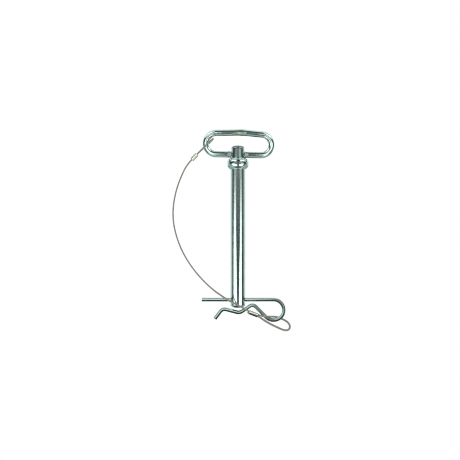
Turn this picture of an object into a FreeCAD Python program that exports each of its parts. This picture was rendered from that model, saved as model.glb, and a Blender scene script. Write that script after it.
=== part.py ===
import FreeCAD
import Part
import math
import os

import Sketcher

# Hitch pin lock: a forged steel pin with a swinging oval handle, an R-clip
# through a cross hole near the tip, and a wire-rope lanyard that ties the clip
# to the handle.
#
# Frame, in millimetres: Z is the pin's axis, with the handle up. The origin is
# the centre of the collar's underside, where the shank starts. X runs across
# the handle's long side and along the clip's straight leg. -Y is the front.

V = FreeCAD.Vector
doc = FreeCAD.newDocument("hitch_pin_lock")

# ---------------------------------------------------------------- dimensions
CELLS = [
    # pin
    ("shank_radius", 9.525),
    ("grip_length", 158.75),
    ("lead_radius", 9.46),
    ("tip_length", 176.0),
    ("tip_bevel", 2.9),
    ("bead_radius", 7.44),
    ("bead_centre_radius", 6.69),
    ("bead_centre_height", 7.55),
    ("bead_fillet", 1.0),
    ("neck_radius", 8.6),
    ("neck_height", 30.3),
    ("neck_round", 4.2),
    ("neck_hole_radius", 4.35),
    ("neck_hole_height", 19.07),
    ("clip_hole_radius", 3.175),
    ("clip_hole_height", -165.45),
    # handle
    ("bar_radius", 3.97),
    ("bar_slope", 1.3 / 56.9),
    ("loop_left", -41.13),
    ("loop_right", 42.83),
    ("weld_across", 5.2),
    ("weld_height", 47.46),
    ("weld_swell", 0.38),
    ("weld_half_length", 7.6),
    ("stake_depth", 0.5),
    ("stake_punch", 4.6),
    ("stake_offset", 11.0),
    # R-clip
    ("clip_wire_radius", 2.38),
    ("clip_leg_height", -166.2),
    ("clip_leg_start", -46.2),
    ("clip_bow_across", 45.6),
    ("clip_bow_radius", 13.1),
    ("clip_crest_radius", 6.4),
    ("clip_trough_radius", 9.0),
    # lanyard
    ("rope_diameter", 2.0),
    ("sleeve_width", 5.2),
    ("sleeve_depth", 4.3),
    ("strand_offset", 1.05),
    ("sleeve_round", 0.45),
]
sheet = doc.addObject("Spreadsheet::Sheet", "Dims")
for row, (alias, value) in enumerate(CELLS, start=1):
    sheet.set("A%d" % row, alias)
    sheet.set("B%d" % row, repr(float(value)))
    sheet.setAlias("B%d" % row, alias)
doc.recompute()


def dim(alias):
    return float(getattr(sheet, alias))


def plane(body, role):
    for feature in body.Origin.OriginFeatures:
        if feature.Role == role:
            return feature
    raise RuntimeError("no plane " + role)


def new_body(label):
    body = doc.addObject("PartDesign::Body", label)
    body.Label = label
    return body


def new_sketch(body, name, role):
    sketch = body.newObject("Sketcher::SketchObject", name)
    sketch.AttachmentSupport = [(plane(body, role), "")]
    sketch.MapMode = "FlatFace"
    return sketch


def bind(sketch, constraint, name, expression):
    """Add a named constraint and drive it from the sheet."""
    index = sketch.addConstraint(constraint)
    sketch.renameConstraint(index, name)
    sketch.setExpression("Constraints." + name, expression)
    return index


def arc_geometry(centre, radius, start, end):
    circle = Part.Circle(V(centre[0], centre[1], 0), V(0, 0, 1), radius)
    return Part.ArcOfCircle(circle, start, end)


def line_geometry(a, b):
    return Part.LineSegment(V(a[0], a[1], 0), V(b[0], b[1], 0))


# ----------------------------------------------------------------------- pin
shank_r, neck_r = dim("shank_radius"), dim("neck_radius")
bead_r, bead_x, bead_z = (
    dim("bead_radius"),
    dim("bead_centre_radius"),
    dim("bead_centre_height"),
)
fillet_r = dim("bead_fillet")
tip_z, bevel = -dim("tip_length"), dim("tip_bevel")
lead_r = dim("lead_radius")
neck_z, neck_round = dim("neck_height"), dim("neck_round")

fillet_x = shank_r + fillet_r
fillet_z = bead_z - math.sqrt((bead_r + fillet_r) ** 2 - (fillet_x - bead_x) ** 2)
# where the small fillet meets the bead, and where the bead meets the neck
meet_angle = math.atan2(fillet_z - bead_z, fillet_x - bead_x)
meet = (bead_x + bead_r * math.cos(meet_angle), bead_z + bead_r * math.sin(meet_angle))
top_angle = math.acos((neck_r - bead_x) / bead_r)
bead_top = (neck_r, bead_z + bead_r * math.sin(top_angle))

pin = new_body("pin")
profile = new_sketch(pin, "pin_profile", "XZ_Plane")
g = [
    line_geometry((0, tip_z), (lead_r - bevel, tip_z)),
    line_geometry((lead_r - bevel, tip_z), (lead_r, tip_z + bevel)),
    line_geometry((lead_r, tip_z + bevel), (shank_r, -dim("grip_length"))),
    line_geometry((shank_r, -dim("grip_length")), (shank_r, fillet_z)),
    arc_geometry((fillet_x, fillet_z), fillet_r, meet_angle + math.pi, math.pi),
    arc_geometry((bead_x, bead_z), bead_r, meet_angle, top_angle),
    line_geometry(bead_top, (neck_r, neck_z - neck_round)),
    arc_geometry((neck_r - neck_round, neck_z - neck_round), neck_round, 0, math.pi / 2),
    line_geometry((neck_r - neck_round, neck_z), (0, neck_z)),
    line_geometry((0, neck_z), (0, tip_z)),
]
profile.addGeometry(g, False)
for constraint in (
    ("Radius", 5, bead_r, "bead_radius", "Dims.bead_radius"),
    ("Radius", 7, neck_round, "neck_round", "Dims.neck_round"),
    ("Radius", 4, fillet_r, "bead_fillet", "Dims.bead_fillet"),
):
    bind(
        profile,
        Sketcher.Constraint(constraint[0], constraint[1], constraint[2]),
        constraint[3],
        constraint[4],
    )
bind(
    profile,
    Sketcher.Constraint("DistanceX", -1, 1, 3, 1, shank_r),
    "shank_radius",
    "Dims.shank_radius",
)
bind(
    profile,
    Sketcher.Constraint("DistanceY", 3, 1, -1, 1, dim("grip_length")),
    "grip_length",
    "Dims.grip_length",
)
bind(
    profile,
    Sketcher.Constraint("DistanceY", 0, 1, -1, 1, dim("tip_length")),
    "tip_length",
    "Dims.tip_length",
)
bind(
    profile,
    Sketcher.Constraint("DistanceY", -1, 1, 8, 2, neck_z),
    "neck_height",
    "Dims.neck_height",
)
for a, b in zip(range(10), [1, 2, 3, 4, 5, 6, 7, 8, 9, 0]):
    if 4 in (a, b):
        continue
    profile.addConstraint(Sketcher.Constraint("Coincident", a, 2, b, 1))
# the fillet runs clockwise along the outline, so its ends swap
profile.addConstraint(Sketcher.Constraint("Coincident", 3, 2, 4, 2))
profile.addConstraint(Sketcher.Constraint("Coincident", 5, 1, 4, 1))
turned = pin.newObject("PartDesign::Revolution", "pin_turned")
turned.Profile = profile
turned.ReferenceAxis = (profile, ["V_Axis"])
turned.Angle = 360.0
doc.recompute()


def cross_hole(body, name, radius_alias, height_alias, before):
    sketch = new_sketch(body, name + "_sketch", "YZ_Plane")
    sketch.addGeometry(
        Part.Circle(V(0, dim(height_alias), 0), V(0, 0, 1), dim(radius_alias)), False
    )
    bind(sketch, Sketcher.Constraint("Radius", 0, dim(radius_alias)), "hole_radius", "Dims." + radius_alias)
    sketch.addConstraint(Sketcher.Constraint("PointOnObject", 0, 3, -2))
    if dim(height_alias) > 0:
        constraint = Sketcher.Constraint("DistanceY", -1, 1, 0, 3, dim(height_alias))
        expression = "Dims." + height_alias
    else:
        constraint = Sketcher.Constraint("DistanceY", 0, 3, -1, 1, -dim(height_alias))
        expression = "-Dims." + height_alias
    bind(sketch, constraint, "hole_height", expression)
    pocket = body.newObject("PartDesign::Pocket", name)
    pocket.Profile = sketch
    pocket.Type = 1
    pocket.Midplane = True
    doc.recompute()
    lost = before - body.Shape.Volume
    print("%s removes %.1f mm3" % (name, lost))
    if lost < 100:
        raise RuntimeError(name + " cuts nothing")
    return body.Shape.Volume


left = cross_hole(pin, "neck_hole", "neck_hole_radius", "neck_hole_height", pin.Shape.Volume)
left = cross_hole(pin, "clip_hole", "clip_hole_radius", "clip_hole_height", left)

# -------------------------------------------------------------------- handle
# One round bar bent to an oval through the neck's hole and butt-welded in its
# top span, where the two ends meet at a slight angle.
slope = dim("bar_slope")


def unit2(x, y):
    n = math.hypot(x, y)
    return (x / n, y / n)


def tangent_arc(bottom, top, extreme, side):
    """Circle between two lines (point, direction) that reaches x = extreme on
    the given side. Returns (centre, radius, bottom tangent, top tangent)."""
    (pa, da), (pb, db) = bottom, top
    na = (-da[1], da[0]) if da[0] > 0 else (da[1], -da[0])
    nb = (db[1], -db[0]) if db[0] > 0 else (-db[1], db[0])
    m = FreeCAD.Matrix(
        na[0], na[1], -1, 0, nb[0], nb[1], -1, 0, 1, 0, side, 0, 0, 0, 0, 1
    )
    right = V(pa[0] * na[0] + pa[1] * na[1], pb[0] * nb[0] + pb[1] * nb[1], extreme)
    cx, cz, r = m.inverse().multVec(right)
    return (
        (cx, cz),
        r,
        (cx - na[0] * r, cz - na[1] * r),
        (cx - nb[0] * r, cz - nb[1] * r),
    )


bar_axis = unit2(1.0, -slope)
bottom_line = ((0.0, dim("neck_hole_height")), bar_axis)
weld = (dim("weld_across"), dim("weld_height"))
right_top = (weld, unit2(24.3, -2.46))
left_top = (weld, unit2(32.6, 0.46))
rc, rr, r_low, r_high = tangent_arc(bottom_line, right_top, dim("loop_right"), 1)
lc, lr, l_low, l_high = tangent_arc(bottom_line, left_top, dim("loop_left"), -1)
print("handle end radii: right %.2f, left %.2f" % (rr, lr))

handle = new_body("handle")
path = new_sketch(handle, "handle_path", "XZ_Plane")
gap = dim("weld_half_length")
right_end = (
    weld[0] + right_top[1][0] * gap,
    weld[1] + right_top[1][1] * gap,
)
left_end = (
    weld[0] - left_top[1][0] * gap,
    weld[1] - left_top[1][1] * gap,
)


def angle_of(centre, point):
    return math.atan2(point[1] - centre[1], point[0] - centre[0])


path.addGeometry(
    [
        line_geometry(right_end, r_high),
        arc_geometry(rc, rr, angle_of(rc, r_low), angle_of(rc, r_high)),
        line_geometry(r_low, l_low),
        arc_geometry(lc, lr, angle_of(lc, l_high), angle_of(lc, l_low) + 2 * math.pi),
        line_geometry(l_high, left_end),
    ],
    False,
)
section = handle.newObject("Sketcher::SketchObject", "handle_section")
section.AttachmentSupport = [(path, "Edge1")]
section.MapMode = "NormalToEdge"
section.MapPathParameter = 0.0
section.addGeometry(Part.Circle(V(0, 0, 0), V(0, 0, 1), dim("bar_radius")), False)
bind(section, Sketcher.Constraint("Radius", 0, dim("bar_radius")), "bar_radius", "Dims.bar_radius")
section.addConstraint(Sketcher.Constraint("Coincident", 0, 3, -1, 1))
doc.recompute()
bar = handle.newObject("PartDesign::AdditivePipe", "handle_bar")
bar.Profile = section
bar.Spine = (path, ["Edge1", "Edge2", "Edge3", "Edge4", "Edge5"])
bar.Mode = "Frenet"
doc.recompute()

# the weld: the two ends meet in a low swell that takes up the slight angle
# between them
turn_right = math.atan2(right_top[1][1], right_top[1][0])
turn_left = math.atan2(left_top[1][1], left_top[1][0])
rings = []
for k in range(7):
    share = -1.0 + k / 3.0
    reach = dim("weld_half_length") * share
    way = right_top[1] if share > 0 else left_top[1]
    turn = turn_left + (turn_right - turn_left) * (0.5 + 0.5 * share)
    swell = dim("weld_swell") * math.cos(math.pi / 2 * share) ** 2
    ring = handle.newObject("Sketcher::SketchObject", "weld_ring_%d" % k)
    ring.MapMode = "Deactivated"
    ring.Placement = FreeCAD.Placement(
        V(weld[0] + way[0] * reach, 0, weld[1] + way[1] * reach),
        FreeCAD.Rotation(V(0, 1, 0), 90 - math.degrees(turn)),
    )
    radius = "Dims.bar_radius + Dims.weld_swell * %.6f" % (swell / dim("weld_swell"))
    ring.addGeometry(Part.Circle(V(0, 0, 0), V(0, 0, 1), dim("bar_radius") + swell), False)
    bind(ring, Sketcher.Constraint("Radius", 0, dim("bar_radius") + swell), "ring_radius", radius)
    ring.addConstraint(Sketcher.Constraint("Coincident", 0, 3, -1, 1))
    rings.append(ring)
doc.recompute()
joint = handle.newObject("PartDesign::AdditiveLoft", "weld")
joint.Profile = rings[0]
joint.Sections = rings[1:]
joint.Ruled = False
joint.Closed = False
doc.recompute()

# the bar is staked on both sides of the neck, front and back, so that it stays
# centred: each mark is the scallop that a round-nosed punch leaves
for sign, name in ((-1, "stake_left"), (1, "stake_right")):
    across = sign * dim("stake_offset")
    marks = handle.newObject("Sketcher::SketchObject", name + "_marks")
    marks.AttachmentSupport = [(plane(handle, "XY_Plane"), "")]
    marks.MapMode = "FlatFace"
    for k, side in enumerate((-1, 1)):
        centre = V(across, side * (dim("bar_radius") + dim("stake_punch") - dim("stake_depth")), 0)
        marks.addGeometry(Part.Circle(centre, V(0, 0, 1), dim("stake_punch")), False)
        bind(marks, Sketcher.Constraint("Radius", k, dim("stake_punch")), "punch_%d" % k, "Dims.stake_punch")
        bind(marks, Sketcher.Constraint("DistanceX", -1, 1, k, 3, across), "across_%d" % k, "%d * Dims.stake_offset" % sign)
        bind(
            marks,
            Sketcher.Constraint("DistanceY", -1, 1, k, 3, centre.y),
            "away_%d" % k,
            "%d * (Dims.bar_radius + Dims.stake_punch - Dims.stake_depth)" % side,
        )
    doc.recompute()
    press = handle.newObject("PartDesign::Pocket", name)
    press.Profile = marks
    press.Type = "Length"
    press.Length = 30
    press.Reversed = True
    doc.recompute()

# -------------------------------------------------------------------- R-clip
wire_r = dim("clip_wire_radius")
leg_z, bow_x, bow_r = (
    dim("clip_leg_height"),
    dim("clip_bow_across"),
    dim("clip_bow_radius"),
)
leg = doc.addObject("Part::Cylinder", "r_clip_leg")
leg.Label = "r_clip_leg"
leg.setExpression("Radius", "Dims.clip_wire_radius")
leg.setExpression("Height", "Dims.clip_bow_across - Dims.clip_leg_start")
leg.Placement = FreeCAD.Placement(
    V(dim("clip_leg_start"), 0, leg_z), FreeCAD.Rotation(V(0, 1, 0), 90)
)


def rounded_path(points, radii):
    """Lines joined by tangent arcs of the given radii at the inner points."""
    edges, here = [], V(*points[0])
    for i in range(1, len(points) - 1):
        a, b, c = V(*points[i - 1]), V(*points[i]), V(*points[i + 1])
        u, w = (a - b).normalize(), (c - b).normalize()
        half = u.getAngle(w) / 2
        r = radii[i - 1]
        t = r / math.tan(half)
        start, end = b + u * t, b + w * t
        middle = b + (u + w).normalize() * (r / math.sin(half) - r)
        if (start - here).Length > 1e-6:
            edges.append(Part.LineSegment(here, start))
        edges.append(Part.Arc(start, middle, end))
        here = end
    edges.append(Part.LineSegment(here, V(*points[-1])))
    return edges


bow_c = (bow_x, leg_z - bow_r)
s = math.sqrt(0.5)
bow_end = (bow_c[0] - bow_r * s, bow_c[1] - bow_r * s)
WAVE = [
    (bow_end[0], bow_end[1], 0),
    (19.34, -171.56, 0),
    (2.45, -183.25, 0),
    (-19.6, -177.62, 0),
    (-29.4, -190.5, 0),
]
clip = new_body("r_clip_spring")
clip_path = new_sketch(clip, "clip_path", "XZ_Plane")
clip_edges = [
    arc_geometry(bow_c, bow_r, -3 * math.pi / 4, math.pi / 2)
] + rounded_path(
    WAVE,
    [dim("clip_crest_radius"), dim("clip_trough_radius"), dim("clip_crest_radius")],
)
flat = []
for edge in clip_edges:
    if isinstance(edge, Part.Arc):
        shape = edge.toShape()
        curve = shape.Curve
        a0, a1 = angle_of((curve.Center.x, curve.Center.y), (shape.Vertexes[0].X, shape.Vertexes[0].Y)), angle_of(
            (curve.Center.x, curve.Center.y), (shape.Vertexes[1].X, shape.Vertexes[1].Y)
        )
        if (a1 - a0) % (2 * math.pi) > math.pi:
            a0, a1 = a1, a0
        flat.append(
            arc_geometry((curve.Center.x, curve.Center.y), curve.Radius, a0, a0 + (a1 - a0) % (2 * math.pi))
        )
    else:
        flat.append(edge)
clip_path.addGeometry(flat, False)
clip_section = clip.newObject("Sketcher::SketchObject", "clip_section")
clip_section.AttachmentSupport = [(plane(clip, "YZ_Plane"), "")]
clip_section.MapMode = "FlatFace"
clip_section.AttachmentOffset = FreeCAD.Placement(V(0, leg_z, bow_x), FreeCAD.Rotation())
clip_section.setExpression("AttachmentOffset.Base.z", "Dims.clip_bow_across")
clip_section.addGeometry(Part.Circle(V(0, 0, 0), V(0, 0, 1), wire_r), False)
bind(clip_section, Sketcher.Constraint("Radius", 0, wire_r), "wire_radius", "Dims.clip_wire_radius")
clip_section.addConstraint(Sketcher.Constraint("Coincident", 0, 3, -1, 1))
doc.recompute()
clip_bar = clip.newObject("PartDesign::AdditivePipe", "clip_bar")
clip_bar.Profile = clip_section
clip_bar.Spine = (clip_path, ["Edge%d" % (i + 1) for i in range(len(flat))])
clip_bar.Mode = "Frenet"
doc.recompute()

# ------------------------------------------------------------------- lanyard
# One length of springy wire rope. An eye at each end is closed by a crimped
# sleeve: the upper eye goes round the handle's left end, the lower one round
# the clip's bow. Between the sleeves the rope stands out in a bow to the left.
rope_d = dim("rope_diameter")
offset = dim("strand_offset")


def direction(a, b):
    return (V(*b) - V(*a)).normalize()


UP_LOW, UP_HIGH = (-58.9, 0.0, 12.7), (-52.3, 0.0, 19.6)
LOW_FRONT, LOW_BACK = (13.9, -7.4, -181.4), (25.0, -5.2, -185.9)
up_way = direction(UP_LOW, UP_HIGH)
low_way = direction(LOW_FRONT, LOW_BACK)
low_side = low_way.cross(V(0, 1, 0)).normalize()


def shifted(point, way, by):
    p = V(*point) + way * by
    return (p.x, p.y, p.z)


SPAN = [
    shifted(UP_LOW, V(0, 1, 0), -offset),
    shifted(shifted(UP_LOW, V(0, 1, 0), -offset), up_way, -8.8),
    (-71.6, -1.5, -6.8),
    (-78.1, -2.0, -23.7),
    (-82.5, -2.7, -44.6),
    (-82.9, -3.4, -65.4),
    (-78.1, -4.3, -86.8),
    (-70.1, -5.4, -106.3),
    (-58.9, -6.8, -124.2),
    (-45.9, -8.4, -139.7),
    (-31.6, -10.5, -153.0),
    (-17.7, -12.4, -162.5),
    (-6.0, -13.7, -169.3),
    (4.6, -11.7, -174.5),
    shifted(shifted(LOW_FRONT, low_side, offset), low_way, -5.4),
    shifted(LOW_FRONT, low_side, offset),
]
# the upper eye lies in the plane of Y and its own long direction, so it shows
# edge-on from the front. Pairs are (along, across).
eye_foot = shifted(UP_HIGH, up_way, 3.2)
eye_aim = direction(eye_foot, (-30.2, 0.0, 40.9))
UPPER_PLAN = [
    (0.0, 1.05),
    (4.6, 2.9),
    (9.1, 5.2),
    (13.6, 6.3),
    (18.0, 6.2),
    (22.1, 5.0),
    (25.5, 2.6),
]
UPPER_EYE = [shifted(UP_HIGH, V(0, 1, 0), -offset)]
UPPER_EYE += [
    shifted(shifted(eye_foot, eye_aim, along), V(0, 1, 0), -across)
    for along, across in UPPER_PLAN
]
UPPER_EYE += [
    shifted(shifted(eye_foot, eye_aim, along), V(0, 1, 0), across)
    for along, across in reversed(UPPER_PLAN)
]
UPPER_EYE += [shifted(UP_HIGH, V(0, 1, 0), offset)]
LOWER_EYE = [
    shifted(LOW_BACK, low_side, offset),
    shifted(shifted(LOW_BACK, low_side, offset), low_way, 3.8),
    (33.6, -4.5, -187.1),
    (38.9, -3.4, -187.7),
    (43.8, -0.7, -187.9),
    (48.7, 2.4, -188.4),
    (53.5, 4.6, -190.1),
    (58.3, 4.4, -192.0),
    (62.6, 3.0, -194.3),
    (66.0, 1.6, -197.7),
    (66.9, 0.4, -202.0),
    (64.2, -0.7, -205.2),
    (59.8, -1.7, -205.4),
    (54.6, -2.5, -203.4),
    (49.2, -3.2, -200.8),
    (43.6, -3.8, -198.2),
    (37.4, -4.2, -194.7),
    (32.4, -4.4, -191.5),
    shifted(shifted(LOW_BACK, low_side, -offset), low_way, 3.8),
    shifted(LOW_BACK, low_side, -offset),
]


def route_edges(points):
    """Straight runs joined by tangent arcs, each arc as large as its two runs
    allow. Returns (edges, radii, length)."""
    vertices = [V(*p) for p in points]
    radii, edges, here = [], [], vertices[0]
    for a, b, c in zip(vertices, vertices[1:], vertices[2:]):
        u, w = a - b, c - b
        t = 0.45 * min(u.Length, w.Length)
        u.normalize()
        w.normalize()
        half = u.getAngle(w) / 2
        r = t * math.tan(half)
        radii.append(r)
        start, end = b + u * t, b + w * t
        middle = b + (u + w).normalize() * (r / math.sin(half) - r)
        edges.append(Part.LineSegment(here, start).toShape())
        edges.append(Part.Arc(start, middle, end).toShape())
        here = end
    edges.append(Part.LineSegment(here, vertices[-1]).toShape())
    return edges, radii, sum(e.Length for e in edges)


def rope(label, points):
    edges, radii, length = route_edges(points)
    wire = Part.Wire(edges)
    start = (V(*points[1]) - V(*points[0])).normalize()
    circle = Part.Wire([Part.makeCircle(rope_d / 2, V(*points[0]), start)])
    shape = wire.makePipeShell([circle], True, False)
    feature = doc.addObject("Part::Feature", label)
    feature.Label = label
    feature.Shape = Part.Solid(shape) if shape.ShapeType != "Solid" else shape
    feature.Placement = FreeCAD.Placement(V(0, 0, 0), FreeCAD.Rotation())
    expected = math.pi * rope_d**2 / 4 * length
    print(
        "%s: length %.1f mm, volume %.1f mm3 against %.1f, radii %s"
        % (
            label,
            length,
            feature.Shape.Volume,
            expected,
            " ".join("%.1f" % r for r in radii),
        )
    )
    if abs(feature.Shape.Volume - expected) > 0.02 * expected:
        raise RuntimeError(label + " has the wrong volume")
    return feature


rope("lanyard_span", SPAN)
rope("lanyard_upper_eye", UPPER_EYE)
rope("lanyard_lower_eye", LOWER_EYE)


def sleeve(label, start, end, wide):
    """A crimped oval sleeve from start to end, wide along the given direction."""
    along = direction(start, end)
    length = (V(*end) - V(*start)).Length
    thick = along.cross(wide)
    body = new_body(label)
    outline = new_sketch(body, label + "_outline", "XY_Plane")
    r = dim("sleeve_depth") / 2
    flat_half = (dim("sleeve_width") - dim("sleeve_depth")) / 2
    outline.addGeometry(
        [
            line_geometry((-flat_half, -r), (flat_half, -r)),
            arc_geometry((flat_half, 0), r, -math.pi / 2, math.pi / 2),
            line_geometry((flat_half, r), (-flat_half, r)),
            arc_geometry((-flat_half, 0), r, math.pi / 2, 3 * math.pi / 2),
        ],
        False,
    )
    bind(outline, Sketcher.Constraint("Radius", 1, r), "end_radius", "Dims.sleeve_depth / 2")
    for a, b in ((0, 1), (1, 2), (2, 3), (3, 0)):
        outline.addConstraint(Sketcher.Constraint("Coincident", a, 2, b, 1))
    pad = body.newObject("PartDesign::Pad", label + "_pad")
    pad.Profile = outline
    pad.Length = length
    doc.recompute()
    edges = [
        "Edge%d" % (i + 1)
        for i, edge in enumerate(pad.Shape.Edges)
        if abs(edge.Vertexes[0].Z - edge.Vertexes[-1].Z) < 1e-6
    ]
    rounding = body.newObject("PartDesign::Chamfer", label + "_edge")
    rounding.Base = (pad, edges)
    rounding.Size = dim("sleeve_round")
    rounding.setExpression("Size", "Dims.sleeve_round")
    body.Placement = FreeCAD.Placement(
        V(*start), FreeCAD.Rotation(wide, thick, along, "ZXY")
    )
    doc.recompute()
    return body


sleeve("ferrule_upper", UP_LOW, UP_HIGH, V(0, 1, 0))
sleeve("ferrule_lower", LOW_FRONT, LOW_BACK, low_side)

# -------------------------------------------------------------------- output
doc.recompute()
for obj in doc.Objects:
    if "Invalid" in obj.State or "Error" in obj.State:
        raise RuntimeError("%s is %s" % (obj.Label, obj.State))

NODES = [
    "pin",
    "handle",
    "r_clip_leg",
    "r_clip_spring",
    "lanyard_span",
    "lanyard_upper_eye",
    "lanyard_lower_eye",
    "ferrule_upper",
    "ferrule_lower",
]
os.makedirs("parts", exist_ok=True)
shapes = {}
for label in NODES:
    found = doc.getObjectsByLabel(label)[0]
    shape = found.Shape
    if shape.isNull() or not shape.isValid():
        raise RuntimeError(label + " has no valid shape")
    if len(shape.Solids) != 1:
        raise RuntimeError("%s has %d solids" % (label, len(shape.Solids)))
    shapes[label] = shape
for label, shape in shapes.items():
    shape.exportStep(os.path.join("parts", label + ".step"))
    b = shape.optimalBoundingBox()
    print(
        "%-18s %9.1f mm3  x %.2f..%.2f  y %.2f..%.2f  z %.2f..%.2f"
        % (label, shape.Volume, b.XMin, b.XMax, b.YMin, b.YMax, b.ZMin, b.ZMax)
    )
# gaps between neighbours, all of which are clear or meet face to face
names = list(shapes)
for i, a in enumerate(names):
    for b in names[i + 1 :]:
        gap_mm = shapes[a].distToShape(shapes[b])[0]
        if gap_mm < 3.0:
            shared = shapes[a].common(shapes[b]).Volume if gap_mm < 1e-6 else 0.0
            print("%s to %s: %.3f mm apart, %.4f mm3 shared" % (a, b, gap_mm, shared))
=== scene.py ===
import math

import bmesh
import bpy
import numpy as np
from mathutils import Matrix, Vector


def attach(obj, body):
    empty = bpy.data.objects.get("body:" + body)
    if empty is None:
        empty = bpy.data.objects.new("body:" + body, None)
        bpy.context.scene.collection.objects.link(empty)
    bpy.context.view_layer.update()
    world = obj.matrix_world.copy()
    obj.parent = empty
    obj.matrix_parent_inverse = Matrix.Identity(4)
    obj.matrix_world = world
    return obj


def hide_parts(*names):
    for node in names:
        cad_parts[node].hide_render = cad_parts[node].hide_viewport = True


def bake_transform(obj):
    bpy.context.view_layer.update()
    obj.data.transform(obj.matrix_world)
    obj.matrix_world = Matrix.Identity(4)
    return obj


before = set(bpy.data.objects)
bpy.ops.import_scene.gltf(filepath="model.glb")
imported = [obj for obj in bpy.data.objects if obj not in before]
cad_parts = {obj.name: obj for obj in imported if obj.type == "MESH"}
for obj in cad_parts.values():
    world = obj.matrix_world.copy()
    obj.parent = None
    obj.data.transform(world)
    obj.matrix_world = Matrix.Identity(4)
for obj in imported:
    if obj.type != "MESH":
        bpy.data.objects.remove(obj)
MM = 0.001
scene = bpy.context.scene


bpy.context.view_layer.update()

# ------------------------------------------------------------------- camera
cam_data = bpy.data.cameras.new("camera")
cam_data.sensor_width = 36.0
cam_data.lens = 61.2
cam_data.clip_start = 0.01
cam_data.clip_end = 50.0
camera = bpy.data.objects.new("camera", cam_data)
scene.collection.objects.link(camera)
camera.location = (-0.0101, -1.0, -0.0772)
camera.rotation_mode = "XYZ"
camera.rotation_euler = (math.radians(90.0), math.radians(0.0), 0.0)
scene.camera = camera

# -------------------------------------------------------------------- cords
# The wire rope's three routes, in metres: between the ferrules, round the
# handle and round the clip's bow.
SPAN = [
    (-0.0589, -0.00105, 0.0127),
    (-0.064983, -0.00105, 0.006341),
    (-0.0716, -0.0015, -0.0068),
    (-0.0781, -0.0020, -0.0237),
    (-0.0825, -0.0027, -0.0446),
    (-0.0829, -0.0034, -0.0654),
    (-0.0781, -0.0043, -0.0868),
    (-0.0701, -0.0054, -0.1063),
    (-0.0589, -0.0068, -0.1242),
    (-0.0459, -0.0084, -0.1397),
    (-0.0316, -0.0105, -0.1530),
    (-0.0177, -0.0124, -0.1625),
    (-0.0060, -0.0137, -0.1693),
    (0.0046, -0.0117, -0.1745),
    (0.009372, -0.008376, -0.178432),
    (0.014294, -0.0074, -0.180427),
]
UPPER_HALF = [
    (-0.0523, -0.00105, 0.0196),
    (-0.050088, -0.00105, 0.021912),
    (-0.046761, -0.0029, 0.025089),
    (-0.043506, -0.0052, 0.028196),
    (-0.040251, -0.0063, 0.031304),
    (-0.037069, -0.0062, 0.034342),
    (-0.034103, -0.0050, 0.037174),
    (-0.031644, -0.0026, 0.039522),
]
UPPER_EYE = UPPER_HALF + [(x, -y, z) for x, y, z in reversed(UPPER_HALF)]
LOWER_EYE = [
    (0.025394, -0.0052, -0.184927),
    (0.028858, -0.004513, -0.186331),
    (0.0336, -0.0045, -0.1871),
    (0.0389, -0.0034, -0.1877),
    (0.0438, -0.0007, -0.1879),
    (0.0487, 0.0024, -0.1884),
    (0.0535, 0.0046, -0.1901),
    (0.0583, 0.0044, -0.1920),
    (0.0626, 0.0030, -0.1943),
    (0.0660, 0.0016, -0.1977),
    (0.0669, 0.0004, -0.2020),
    (0.0642, -0.0007, -0.2052),
    (0.0598, -0.0017, -0.2054),
    (0.0546, -0.0025, -0.2034),
    (0.0492, -0.0032, -0.2008),
    (0.0436, -0.0038, -0.1982),
    (0.0374, -0.0042, -0.1947),
    (0.0324, -0.0044, -0.1915),
    (0.028069, -0.004513, -0.188277),
    (0.024606, -0.0052, -0.186873),
]


def spline_points(name, route, smooth=14):
    """The points along the smooth line through a route, read from its spline."""
    data = bpy.data.curves.new(name, "CURVE")
    data.dimensions = "3D"
    data.resolution_u = smooth
    spline = data.splines.new("NURBS")
    spline.points.add(len(route) - 1)
    for point, place in zip(spline.points, route):
        point.co = (*place, 1.0)
    spline.order_u = 3
    spline.use_endpoint_u = True
    holder = bpy.data.objects.new(name, data)
    mesh = bpy.data.meshes.new_from_object(holder)
    line = np.array([v.co for v in mesh.vertices], float).reshape(-1, 3)
    bpy.data.meshes.remove(mesh)
    bpy.data.objects.remove(holder)
    bpy.data.curves.remove(data)
    return line


def cumulative(line):
    return np.concatenate([[0.0], np.cumsum(np.linalg.norm(np.diff(line, axis=0), axis=1))])


def respaced(line, step):
    along = cumulative(line)
    at = np.linspace(0.0, along[-1], int(math.ceil(along[-1] / step)) + 1)
    return np.stack([np.interp(at, along, line[:, k]) for k in range(3)], axis=1)


def unit(v):
    v = np.asarray(v, float)
    return v / np.linalg.norm(v)


span_line = spline_points("span_route", SPAN)
upper_line = spline_points("upper_eye_route", UPPER_EYE)[::-1]
lower_line = spline_points("lower_eye_route", LOWER_EYE)

UP_WAY = unit((0.69123, 0.0, 0.72265))
LOW_WAY = unit((0.91149, 0.18066, -0.36952))
LOW_SIDE = unit((0.37570, 0.0, 0.92674))
upper_tail = np.array([-0.0589, 0.00105, 0.0127]) - UP_WAY * 0.0016
lower_tail = np.array([0.0139, -0.0074, -0.1814]) - LOW_SIDE * 0.00105 - LOW_WAY * 0.0016

whole = np.concatenate([[upper_tail], upper_line, span_line, lower_line, [lower_tail]])
keep = np.concatenate([[True], np.linalg.norm(np.diff(whole, axis=0), axis=1) > 1e-6])
rope_line = respaced(whole[keep], 0.0009)
rope_at = cumulative(rope_line)


def carried_frames(line):
    """Tangent, side and up at each point, turned as little as possible."""
    tangent = np.gradient(line, axis=0)
    tangent /= np.linalg.norm(tangent, axis=1)[:, None]
    side = np.zeros_like(line)
    start = np.cross(tangent[0], (0.0, 1.0, 0.0))
    side[0] = start / np.linalg.norm(start)
    for i in range(1, len(line)):
        s = side[i - 1] - tangent[i] * (side[i - 1] @ tangent[i])
        side[i] = s / np.linalg.norm(s)
    return tangent, side, np.cross(tangent, side)


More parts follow.
